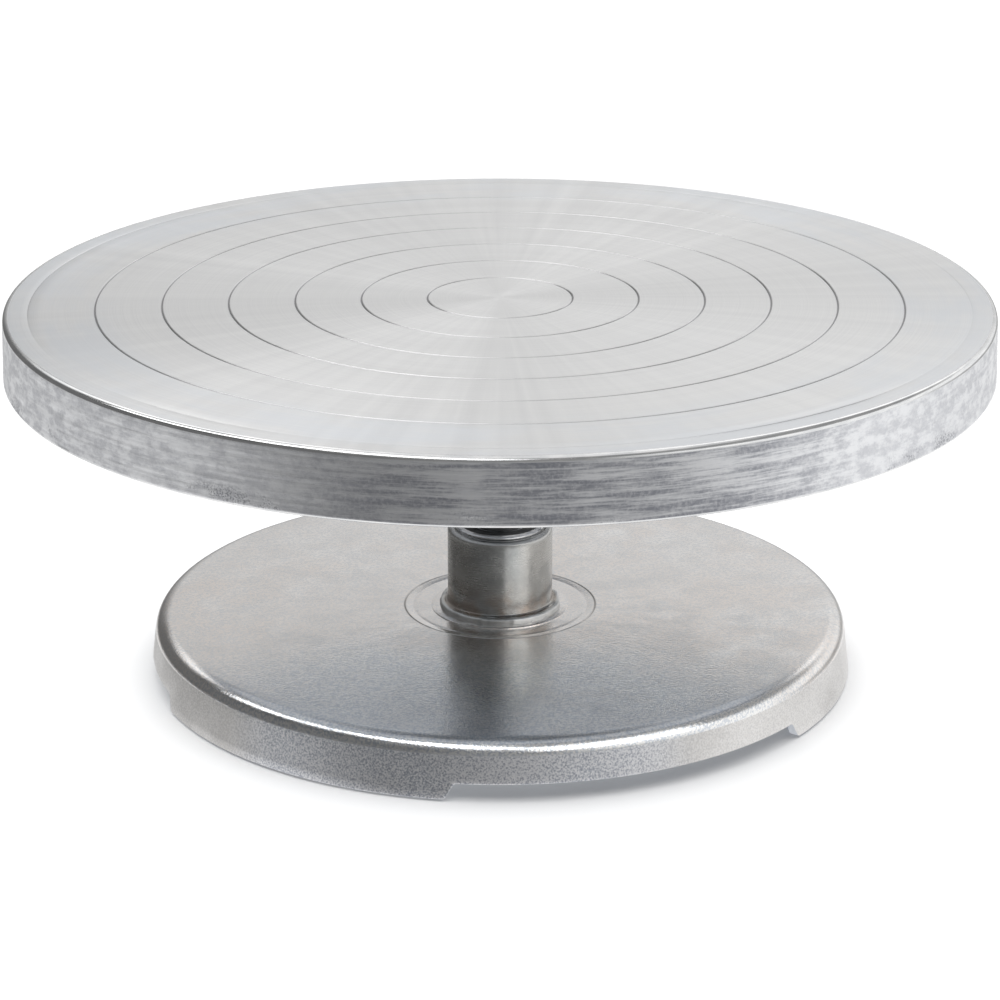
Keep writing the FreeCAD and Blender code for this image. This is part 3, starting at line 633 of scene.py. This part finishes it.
class Shader(Nodes):
    """A material under construction. Places and radii are the object's own, in metres."""

    def __init__(self, name):
        self.material = bpy.data.materials.new(name)
        self.material.use_nodes = True
        super().__init__(self.material.node_tree)
        self.surface = self.tree.nodes["Principled BSDF"]
        self.place = self.node("ShaderNodeTexCoord").outputs["Object"]
        parts = self.node("ShaderNodeSeparateXYZ")
        self.link(self.place, parts.inputs[0])
        self.x, self.y, self.z = parts.outputs
        squares = self.maths("MULTIPLY_ADD", self.x, self.x, self.both(self.y, self.y))
        self.radius = self.maths("MAXIMUM", self.maths("SQRT", squares), 1e-4)

    def round_place(self, turns, outward, upward):
        """Coordinates that wrap round the axis without a seam, with detail along it, outwards and upwards."""
        joined = self.node("ShaderNodeCombineXYZ")
        for across, socket in ((self.x, joined.inputs[0]), (self.y, joined.inputs[1])):
            self.link(self.both(self.maths("DIVIDE", across, self.radius), turns), socket)
        along = self.both(self.radius, outward)
        self.link(self.maths("MULTIPLY_ADD", self.z, upward, along), joined.inputs[2])
        return joined.outputs[0]

    def facing(self, azimuth, off, full):
        """1 within full degrees of an azimuth, counted from the front to the right, and 0 beyond off."""
        a = math.radians(azimuth)
        along = self.maths("MULTIPLY_ADD", self.x, math.sin(a), self.both(self.y, -math.cos(a)))
        near = self.maths("DIVIDE", along, self.radius)
        return self.spread(near, math.cos(math.radians(off)), math.cos(math.radians(full)))

    def noise(self, scale, detail=3.0, rough=0.5, where=None):
        made = self.node("ShaderNodeTexNoise")
        self.link(self.place if where is None else where, made.inputs["Vector"])
        made.inputs["Scale"].default_value = scale
        made.inputs["Detail"].default_value = detail
        made.inputs["Roughness"].default_value = rough
        return made.outputs["Fac"]

    def blend(self, share, first, second):
        """From one colour to another by share."""
        made = self.node("ShaderNodeMix", data_type="RGBA")
        self.link(share, made.inputs[0])
        for colour, socket in ((first, made.inputs[6]), (second, made.inputs[7])):
            self.link(colour if isinstance(colour, bpy.types.NodeSocket) else (*colour, 1.0), socket)
        return made.outputs[2]

    def bump(self, height, distance, strength=1.0, under=None):
        made = self.node("ShaderNodeBump")
        made.inputs["Strength"].default_value = strength
        made.inputs["Distance"].default_value = distance
        self.link(height, made.inputs["Height"])
        if under is not None:
            self.link(under, made.inputs["Normal"])
        return made.outputs[0]

    def finish(self, colour, roughness, normal=None, metallic=1.0, **numbers):
        self.link(colour, self.surface.inputs["Base Color"])
        self.link(roughness, self.surface.inputs["Roughness"])
        if normal is not None:
            self.link(normal, self.surface.inputs["Normal"])
        self.surface.inputs["Metallic"].default_value = metallic
        for key, value in numbers.items():
            self.surface.inputs[key.replace("_", " ").title()].default_value = value
        return self.material


# ---------------------------------------------------------------- materials
def turned_face():
    """The plate's faced top: very fine rings that spread light outwards, so it shows soft fans."""
    s = Shader("turned_face")
    fine = s.noise(1.0, 4.0, 0.7, s.round_place(0.9, 2600.0, 0.0))
    bands = s.noise(1.0, 2.0, 0.5, s.round_place(0.7, 160.0, 0.0))
    spokes = s.noise(1.0, 4.0, 0.6, s.round_place(22.0, 5.0, 0.0))
    patches = s.noise(1.0, 4.0, 0.6, s.round_place(2.0, 45.0, 0.0))
    tone = s.maths("ADD", s.both(fine, 0.55), s.both(spokes, 0.45))
    colour = s.blend(s.spread(tone, 0.35, 0.65), (0.86, 0.86, 0.86), (0.93, 0.93, 0.925))
    outer = s.both(s.spread(s.radius, 0.112, 0.128), s.spread(patches, 0.40, 0.65))
    colour = s.blend(s.both(outer, 0.6), colour, (0.83, 0.86, 0.90))
    # Painted shade: the turned grooves are darkened in their colour.
    groove_shade = s.spread(s.z, PLATE_TOP - 0.02 * MM, PLATE_TOP - 0.3 * MM)
    colour = s.blend(groove_shade, colour, (0.42, 0.42, 0.43))
    wear = s.maths("ADD", s.both(bands, 0.6), s.both(spokes, 0.4))
    rough = s.maths("MULTIPLY_ADD", outer, 0.05, s.spread(wear, 0.3, 0.7, 0.32, 0.41))
    normal = s.bump(fine, 0.00002, 0.5)
    made = s.finish(colour, rough, normal, anisotropic=0.75, anisotropic_rotation=0.25)
    tangent = s.node("ShaderNodeTangent", direction_type="RADIAL", axis="Z")
    s.link(tangent.outputs[0], s.surface.inputs["Tangent"])
    return made


def turned_rim():
    """The plate's side: drawn-out turning marks at its front, with painted shade darkening it there, and
    mottled elsewhere, with pits low down.
    """
    s = Shader("turned_rim")
    streaks = s.noise(1.0, 6.0, 0.75, s.round_place(4.0, 0.0, 560.0))
    patches = s.noise(1.0, 4.0, 0.6, s.round_place(6.0, 0.0, 70.0))
    grain = s.noise(1000.0, 3.0, 0.65)
    pits = s.noise(1.0, 3.0, 0.6, s.round_place(300.0, 0.0, 1600.0))
    clouds = s.noise(1.0, 6.0, 0.7, s.round_place(26.0, 0.0, 300.0))
    # Painted shade: the front of the rim is made much darker, along with its drawn-out marks.
    front_streaks_and_shade = s.facing(9.0, 34.0, 14.0)
    drawn = s.maths("ADD", s.both(streaks, 0.7), s.both(patches, 0.3))
    mottled = s.maths("ADD", s.both(streaks, 0.25), s.both(clouds, 0.75))
    mix = s.mixed(front_streaks_and_shade, mottled, drawn)
    tone_with_front_shade = s.blend(front_streaks_and_shade, (0.70, 0.71, 0.74), (0.34, 0.35, 0.39))
    colour = s.blend(s.spread(mix, 0.42, 0.58), tone_with_front_shade, (0.88, 0.89, 0.91))
    colour = s.blend(s.spread(grain, 0.4, 0.7, 0.0, 0.35), colour, (0.93, 0.93, 0.94))
    lower = s.both(s.spread(s.z, PLATE_BOTTOM + 6.5 * MM, PLATE_BOTTOM + 2.0 * MM),
                  s.spread(patches, 0.50, 0.62))
    dots = s.both(lower, s.spread(pits, 0.46, 0.60))
    colour = s.blend(s.both(dots, 0.65), colour, (0.20, 0.21, 0.24))
    rough = s.spread(mix, 0.35, 0.65, 0.44, 0.30)
    normal = s.bump(streaks, 0.00010, 0.6)
    normal = s.bump(grain, 0.00004, 0.5, normal)
    normal = s.bump(dots, 0.0001, 0.6, normal)
    return s.finish(colour, rough, normal)


def bright_edge():
    """A fine turned edge, knocked and rubbed here and there."""
    s = Shader("bright_edge")
    knocks = s.noise(1.0, 4.0, 0.65, s.round_place(18.0, 0.0, 900.0))
    rings = s.noise(1.0, 3.0, 0.6, s.round_place(2.0, 1800.0, 1800.0))
    colour = s.blend(s.spread(knocks, 0.35, 0.65), (0.78, 0.79, 0.80), (0.92, 0.92, 0.92))
    rough = s.spread(rings, 0.3, 0.7, 0.11, 0.20)
    return s.finish(colour, rough, s.bump(knocks, 0.00003, 0.3))


def cast_skin():
    """Aluminium as it leaves the mould: a fine grain over soft waves."""
    s = Shader("cast_skin")
    grain = s.noise(900.0, 4.0, 0.6)
    waves = s.noise(45.0, 4.0, 0.55)
    colour = s.blend(s.spread(waves, 0.3, 0.7), (0.54, 0.57, 0.62), (0.70, 0.72, 0.75))
    colour = s.blend(s.spread(grain, 0.35, 0.7, 0.0, 0.35), colour, (0.80, 0.82, 0.84))
    rough = s.spread(waves, 0.3, 0.7, 0.52, 0.40)
    normal = s.bump(waves, 0.0002, 0.3)
    normal = s.bump(grain, 0.00012, 0.7, normal)
    return s.finish(colour, rough, normal)


def rubbed_face():
    """The base's top: a cloudy satin, warm in patches, with a painted reflection at its front: a cool grey
    grain.
    """
    s = Shader("rubbed_face")
    cloud = s.noise(14.0, 5.0, 0.65)
    smears = s.noise(1.0, 5.0, 0.65, s.round_place(6.0, 70.0, 0.0))
    warm = s.noise(26.0, 4.0, 0.6)
    grain = s.noise(1300.0, 3.0, 0.6)
    rings = s.noise(1.0, 3.0, 0.6, s.round_place(1.5, 900.0, 900.0))
    colour = s.blend(s.spread(cloud, 0.3, 0.7), (0.83, 0.785, 0.75), (0.98, 0.97, 0.955))
    colour = s.blend(s.spread(warm, 0.44, 0.64, 0.0, 0.8), colour, (0.87, 0.805, 0.755))
    colour = s.blend(s.spread(smears, 0.45, 0.65, 0.0, 0.5), colour, (0.78, 0.765, 0.75))
    colour = s.blend(s.spread(grain, 0.45, 0.57, 0.0, 0.45), colour, (0.64, 0.68, 0.73))
    # Painted reflection: past the post, the front turns a cool grainy grey, standing for the plate's dark
    # underside seen in the top.
    past_post = s.spread(s.radius, SLOPE_R + 6.0 * MM, SLOPE_R + 30.0 * MM)
    front = s.both(s.facing(-3.0, 65.0, 25.0), past_post)
    front_reflection_tone = s.blend(s.spread(grain, 0.44, 0.58), (0.98, 1.0, 1.0), (0.66, 0.72, 0.80))
    colour = s.blend(s.both(front, 0.65), colour, front_reflection_tone)
    # Painted shade: the scribed line at the recess's outer edge is darkened in its colour.
    groove_shade = s.both(s.spread(s.radius, SLOPE_R + 0.6 * MM, SLOPE_R + 0.1 * MM),
                   s.spread(s.radius, SLOPE_R - 0.6 * MM, SLOPE_R - 0.1 * MM))
    colour = s.blend(s.both(groove_shade, 0.6), colour, (0.30, 0.30, 0.29))
    wear = s.maths("ADD", s.both(cloud, 0.4), s.both(smears, 0.6))
    rough = s.spread(wear, 0.35, 0.65, 0.10, 0.24)
    normal = s.bump(rings, 0.00001, 0.25)
    normal = s.bump(grain, 0.00006, 0.9, normal)
    return s.finish(colour, rough, normal)


def speckled_skirt():
    """The base's side: as cast, with a fine speckle at its front and rubbed smooth elsewhere; the front's
    bluish tone and stronger speckle are also a painted reflection.
    """
    s = Shader("speckled_skirt")
    speckle = s.noise(1900.0, 3.0, 0.65)
    cloud = s.noise(30.0, 4.0, 0.55)
    # Painted reflection: towards the front the colour turns bluish grey and the speckle grows stronger,
    # standing for the studio's front seen in the side.
    front_grain_and_reflection = s.facing(-8.0, 40.0, 26.0)
    smooth = s.blend(s.spread(cloud, 0.3, 0.7), (0.61, 0.595, 0.575), (0.75, 0.735, 0.715))
    front_reflection_colour = s.blend(s.spread(cloud, 0.3, 0.7), (0.64, 0.67, 0.72), (0.84, 0.85, 0.88))
    colour = s.blend(front_grain_and_reflection, smooth, front_reflection_colour)
    strength = s.mixed(front_grain_and_reflection, 0.30, 1.0)
    light, dark = s.spread(speckle, 0.50, 0.57), s.spread(speckle, 0.48, 0.40, 0.0, 0.7)
    colour = s.blend(s.both(strength, light), colour, (0.98, 0.98, 1.0))
    colour = s.blend(s.both(strength, dark), colour, (0.36, 0.38, 0.45))
    rough = s.spread(cloud, 0.3, 0.7, 0.40, 0.30)
    normal = s.bump(speckle, 0.00005, 0.6)
    return s.finish(colour, rough, normal)


def post_steel():
    """The post: turned steel, darkened by handling, stained near its foot and bare on its collar, with
    painted shade in the corner above the collar and a painted highlight round its top edge.
    """
    s = Shader("post_steel")
    rings = s.noise(1.0, 4.0, 0.65, s.round_place(1.2, 1500.0, 1500.0))
    cloud = s.noise(60.0, 4.0, 0.6)
    stains = s.noise(130.0, 4.0, 0.62)
    colour = s.blend(s.spread(cloud, 0.3, 0.7), (0.35, 0.355, 0.345), (0.56, 0.555, 0.535))
    low = s.both(s.spread(s.z, BASE_TOP + 14.0 * MM, BASE_TOP + 3.0 * MM), s.spread(stains, 0.4, 0.6))
    colour = s.blend(s.both(low, 0.6), colour, (0.38, 0.30, 0.24))
    # Painted shade: a dark ring in the corner where the tube meets the collar.
    corner = s.spread(s.z, COLLAR_TOP + 0.9 * MM, COLLAR_TOP + 0.1 * MM)
    corner_shade = s.both(corner, s.spread(s.radius, POST_R + 1.4 * MM, POST_R + 0.5 * MM))
    colour = s.blend(s.both(corner_shade, 0.25), colour, (0.12, 0.11, 0.10))
    collar = s.spread(s.radius, POST_R + 0.9 * MM, POST_R + 1.9 * MM)
    colour = s.blend(s.both(collar, s.spread(stains, 0.3, 0.6, 0.4, 1.0)), colour, (0.74, 0.745, 0.735))
    # Painted highlight: the rounding round the post's top is made lighter.
    rim = s.spread(s.z, POST_TOP - 1.5 * MM, POST_TOP - 0.7 * MM)
    colour = s.blend(s.both(rim, s.spread(stains, 0.3, 0.6, 0.4, 0.8)), colour, (0.62, 0.62, 0.61))
    wear = s.maths("ADD", s.both(rings, 0.4), s.both(cloud, 0.6))
    rough = s.maths("MULTIPLY_ADD", collar, 0.12, s.spread(wear, 0.3, 0.7, 0.20, 0.32))
    normal = s.bump(rings, 0.00001, 0.2)
    return s.finish(colour, rough, normal)


def ground_steel(name, dark, light, low, high):
    """Ground or polished steel with faint rings."""
    s = Shader(name)
    rings = s.noise(1.0, 4.0, 0.6, s.round_place(1.0, 2200.0, 2200.0))
    cloud = s.noise(120.0, 3.0, 0.5)
    colour = s.blend(s.spread(cloud, 0.3, 0.7), dark, light)
    rough = s.spread(rings, 0.3, 0.7, low, high)
    return s.finish(colour, rough, s.bump(rings, 0.00002, 0.4))


def soft_matt(name, dark, light, low, high, scale=500.0):
    """Rubber or nylon: a fine matt grain with dusty patches."""
    s = Shader(name)
    grain = s.noise(scale, 3.0, 0.6)
    dust = s.noise(60.0, 4.0, 0.6)
    colour = s.blend(s.spread(dust, 0.35, 0.75), dark, light)
    rough = s.spread(grain, 0.3, 0.7, low, high)
    return s.finish(colour, rough, s.bump(grain, 0.00005, 0.5), metallic=0.0)


def paint_frame():
    """A material for every CAD node that is shown as it is, by its slot in the record."""
    looks = {
        "cast_aluminium": cast_skin(),
        "spindle_steel": ground_steel("spindle_steel", (0.60, 0.60, 0.60), (0.76, 0.76, 0.76), 0.12, 0.24),
        "spacer_steel": ground_steel("spacer_steel", (0.50, 0.50, 0.50), (0.62, 0.62, 0.60), 0.25, 0.38),
        "spring_steel": ground_steel("spring_steel", (0.14, 0.15, 0.17), (0.24, 0.25, 0.27), 0.30, 0.42),
        "screw_steel": ground_steel("screw_steel", (0.56, 0.56, 0.54), (0.70, 0.70, 0.68), 0.25, 0.40),
        "bearing_steel": ground_steel("bearing_steel", (0.66, 0.66, 0.67), (0.80, 0.80, 0.80), 0.10, 0.20),
        "ball_steel": ground_steel("ball_steel", (0.72, 0.72, 0.73), (0.84, 0.84, 0.84), 0.05, 0.10),
        "cage_nylon": soft_matt("cage_nylon", (0.60, 0.53, 0.38), (0.70, 0.63, 0.47), 0.40, 0.55),
        "seal_rubber": soft_matt("seal_rubber", (0.012, 0.012, 0.013), (0.03, 0.03, 0.03), 0.45, 0.60),
        "black_nylon": soft_matt("black_nylon", (0.02, 0.02, 0.02), (0.04, 0.04, 0.04), 0.40, 0.55),
        "foot_rubber": soft_matt("foot_rubber", (0.02, 0.02, 0.02), (0.05, 0.05, 0.048), 0.60, 0.80),
    }
    slots = {part["node"]: part["material_slot"] for part in frame["record"]["subparts"]}
    for name, node in frame["nodes"].items():
        if slots[name] in looks:
            node.data.materials.clear()
            node.data.materials.append(looks[slots[name]])


# ---------------------------------------------------------------- studio
FLOOR_R = 6.0
FLOOR_GAP = 0.2 * MM
LIGHT_REACH = 3.0
FLOOR_GLOW = 0.03           # keeps the far floor white
DIFFUSE_SKY = 0.05          # the world's own light on matt surfaces


def floor():
    """White ground. It can be seen through from below, so the underside shows."""
    made = bpy.data.meshes.new("floor")
    build = bmesh.new()
    bmesh.ops.create_circle(build, cap_ends=True, radius=FLOOR_R, segments=96)
    build.to_mesh(made)
    build.free()
    piece = bpy.data.objects.new("floor", made)
    bpy.context.scene.collection.objects.link(piece)
    piece.location.z = cad_low.z - FLOOR_GAP
    piece.visible_glossy = False
    s = Shader("floor")
    s.surface.inputs["Base Color"].default_value = (0.9, 0.9, 0.9, 1.0)
    s.surface.inputs["Roughness"].default_value = 0.9
    s.surface.inputs["Specular IOR Level"].default_value = 0.1
    s.surface.inputs["Emission Color"].default_value = (1.0, 1.0, 1.0, 1.0)
    s.surface.inputs["Emission Strength"].default_value = FLOOR_GLOW
    clear = s.node("ShaderNodeBsdfTransparent")
    side = s.node("ShaderNodeMixShader")
    s.link(s.node("ShaderNodeNewGeometry").outputs["Backfacing"], side.inputs[0])
    s.link(s.surface.outputs[0], side.inputs[1])
    s.link(clear.outputs[0], side.inputs[2])
    s.link(side.outputs[0], s.tree.nodes["Material Output"].inputs["Surface"])
    piece.data.materials.append(s.material)


def softbox(name, azimuth, elevation, width, height, radiance, glossy=True):
    """A soft panel facing the object, sized by the angles it fills.
    Azimuth 0 is the camera's side, positive to the right."""
    data = bpy.data.lights.new(name, "AREA")
    data.shape = "RECTANGLE"
    data.size = 2.0 * LIGHT_REACH * math.tan(math.radians(width / 2.0))
    data.size_y = 2.0 * LIGHT_REACH * math.tan(math.radians(height / 2.0))
    data.energy = radiance * math.pi * data.size * data.size_y
    light = bpy.data.objects.new(name, data)
    bpy.context.scene.collection.objects.link(light)
    a, e = math.radians(azimuth), math.radians(elevation)
    away = Vector((math.sin(a) * math.cos(e), -math.cos(a) * math.cos(e), math.sin(e)))
    light.location = (cad_low + cad_high) / 2 + away * LIGHT_REACH
    light.rotation_mode = "QUATERNION"
    light.rotation_quaternion = away.to_track_quat("Z", "Y")
    light.visible_camera = False
    light.visible_glossy = glossy
    light.visible_diffuse = not glossy
    return light


def world():
    """A studio given by brightness alone, from the direction: right, back and z each run from -1 to 1.
    The sky is a band round the horizon, a middle height and a light top. The band is bright to the right,
    the middle has a bright lobe at each side behind, and both are dark to the left and grey ahead. The
    ground is dark before the object and bright around it."""
    made = bpy.data.worlds.new("studio")
    bpy.context.scene.world = made
    made.use_nodes = True
    n = Nodes(made.node_tree)
    parts = n.node("ShaderNodeSeparateXYZ")
    n.link(n.node("ShaderNodeTexCoord").outputs["Generated"], parts.inputs[0])
    x, y, z = parts.outputs
    flat = n.maths("MAXIMUM", n.maths("SQRT", n.maths("MULTIPLY_ADD", x, x, n.both(y, y))), 0.01)
    right, back = n.maths("DIVIDE", x, flat), n.maths("DIVIDE", y, flat)
    ahead = n.spread(back, 0.1, -0.6)

    horizon = n.mixed(n.spread(right, 0.05, -0.55), n.mixed(ahead, 0.69, 0.25), 0.15)
    horizon = n.mixed(n.spread(right, 0.25, 0.7), horizon, 0.96)
    beside = n.spread(n.maths("ABSOLUTE", right), 0.02, 0.30, 0.68, 1.25)
    middle = n.mixed(n.spread(right, -0.55, -0.85), n.mixed(ahead, beside, 0.25), 0.10)
    middle = n.mixed(n.spread(right, 0.42, 0.75), middle, 0.30)
    sky = n.mixed(n.spread(z, 0.36, 0.52), horizon, middle)
    sky = n.mixed(n.spread(z, 0.80, 0.96), sky, 0.80)

    before = n.spread(right, -0.6, 0.6, 0.19, 0.44)
    near_horizon = n.mixed(n.spread(right, -0.6, 0.6), 0.14, n.spread(back, 0.0, 0.7, 0.98, 0.38))
    below = n.spread(right, -0.6, 0.6, 0.80, 0.98)
    around = n.mixed(n.spread(z, -0.14, -0.28), near_horizon, below)
    ground = n.mixed(n.spread(back, -0.9, -0.2), before, around)
    ground = n.mixed(n.spread(z, -0.50, -0.80), ground, 0.95)

    seen = n.mixed(n.spread(z, -0.05, 0.05), ground, sky)
    path = n.node("ShaderNodeLightPath")
    background = made.node_tree.nodes["Background"]
    background.inputs["Color"].default_value = (1.0, 1.0, 1.0, 1.0)
    seen = n.mixed(path.outputs["Is Diffuse Ray"], seen, DIFFUSE_SKY)
    n.link(n.mixed(path.outputs["Is Camera Ray"], seen, 1.0), background.inputs["Strength"])


def camera():
    data = bpy.data.cameras.new("camera")
    data.lens = CAMERA_LENS
    data.sensor_width = SENSOR
    made = bpy.data.objects.new("camera", data)
    bpy.context.scene.collection.objects.link(made)
    made.location = (0.0, -CAMERA_BACK, CAMERA_HEIGHT)
    made.rotation_euler = Euler((math.radians(90.0 - CAMERA_PITCH), 0.0, 0.0))
    bpy.context.scene.camera = made


def lights(plate):
    """Two panels for the shine on the metal, and a wide one above and behind for the ground. The plate
    takes no shine from the right one, which would fill its top when seen from behind, and doesn't
    shade the ground."""
    softbox("front_left", -55.0, 55.0, 84.0, 20.0, 2.0)
    right = softbox("front_right", 38.0, 33.0, 50.0, 30.0, 1.3)
    overhead = softbox("overhead", 180.0, 76.0, 108.0, 108.0, 1.65, glossy=False)
    all_but_plate = bpy.data.collections.new("all_but_plate")
    right.light_linking.receiver_collection = all_but_plate
    overhead.light_linking.blocker_collection = all_but_plate
    all_but_plate.objects.link(plate)
    all_but_plate.collection_objects[0].light_linking.link_state = "EXCLUDE"


paint_frame()
plate = turntable_plate([turned_face(), turned_rim(), bright_edge(), cast_skin()])
base([rubbed_face(), speckled_skirt(), cast_skin()])
post([post_steel()])
floor()
world()
lights(plate)
camera()
bpy.context.scene.view_settings.view_transform = "Standard"
